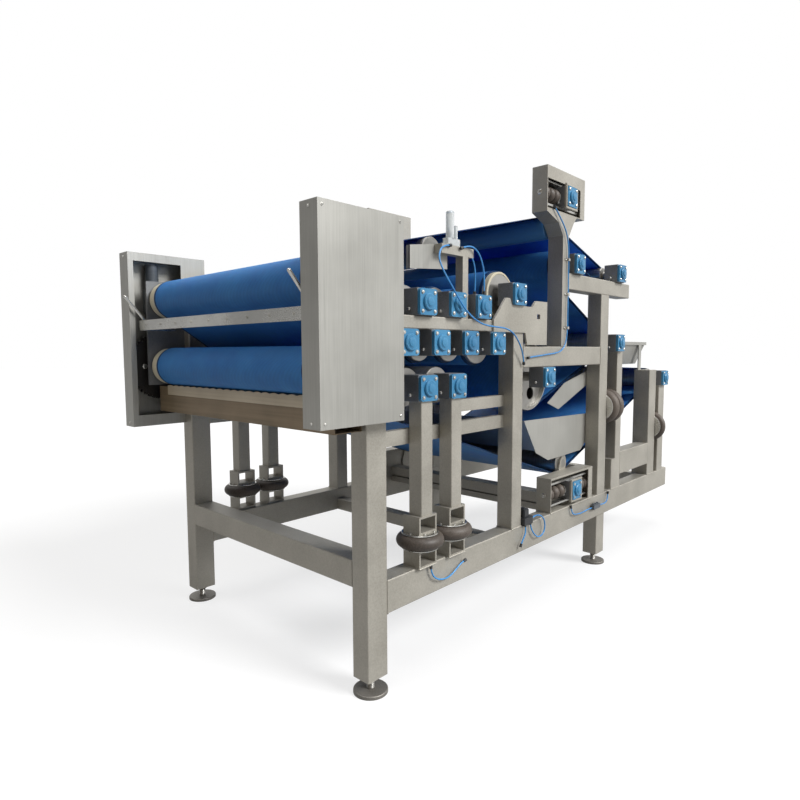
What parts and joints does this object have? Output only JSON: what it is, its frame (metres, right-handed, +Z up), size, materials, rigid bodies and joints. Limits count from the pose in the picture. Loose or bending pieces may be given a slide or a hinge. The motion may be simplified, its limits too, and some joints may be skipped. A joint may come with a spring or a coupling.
{
  "type": "belt filter press",
  "caption": "Twin-belt filter press that squeezes juice from mash between blue filter belts on a stainless steel frame with rollers, air springs and a feed hopper.",
  "frame": {"origin": "centre of the bounding box on the floor", "axes": "X along the machine from the drive end to the feed end, Y across it, Z up"},
  "size_m": [3.9049, 1.758, 2.577],
  "materials": {
    "air_rubber": "moulded black rubber",
    "belt": "woven polyester filter cloth, blue",
    "frame_steel": "fine ground stainless steel",
    "gear_black": "dark cast iron",
    "housing": "dark grey cast housing",
    "lagging": "cream rubber lagging",
    "motor_grey": "dark grey painted casting",
    "plastic_cream": "cream plastic bar",
    "roller_steel": "turned stainless steel",
    "service_clear": "pale plastic bowl",
    "sheet_steel": "ground stainless sheet",
    "unit_blue": "blue painted bearing unit"
  },
  "bodies": {
    "root": {"air_spring_plates": "roller_steel", "air_springs": "air_rubber", "base_rails": "frame_steel", "bearing_housings": "housing", "bearing_units": "unit_blue", "cross_members": "frame_steel", "discharge_tray": "sheet_steel", "drive_gear": "gear_black", "drive_rollers": "roller_steel", "drive_side_plates": "frame_steel", "far_cover": "sheet_steel", "feed_frame": "frame_steel", "feed_hopper": "sheet_steel", "front_columns": "frame_steel", "gear_motor": "motor_grey", "guide_rollers": "roller_steel", "idler_brackets": "frame_steel", "juice_tray": "sheet_steel", "levelling_feet": "frame_steel", "lower_belt": "belt", "lower_press_rollers": "roller_steel", "middle_beams": "frame_steel", "middle_columns": "frame_steel", "near_cover": "sheet_steel", "notched_plates": "sheet_steel", "pressure_drum": "roller_steel", "push_brackets": "frame_steel", "push_posts": "frame_steel", "push_rollers": "roller_steel", "rear_columns": "frame_steel", "rubber_lagging": "lagging", "scraper": "sheet_steel", "screen_drum": "roller_steel", "service_unit": "service_clear", "side_rails": "frame_steel", "take_up_bars": "plastic_cream", "tension_levers": "frame_steel", "top_beams": "frame_steel", "tower_columns": "frame_steel", "tracking_arms": "roller_steel", "tracking_frames": "frame_steel", "tracking_heads": "frame_steel", "tracking_slides": "roller_steel", "upper_belt": "belt", "upper_press_rollers": "roller_steel"}
  },
  "joints": []
}
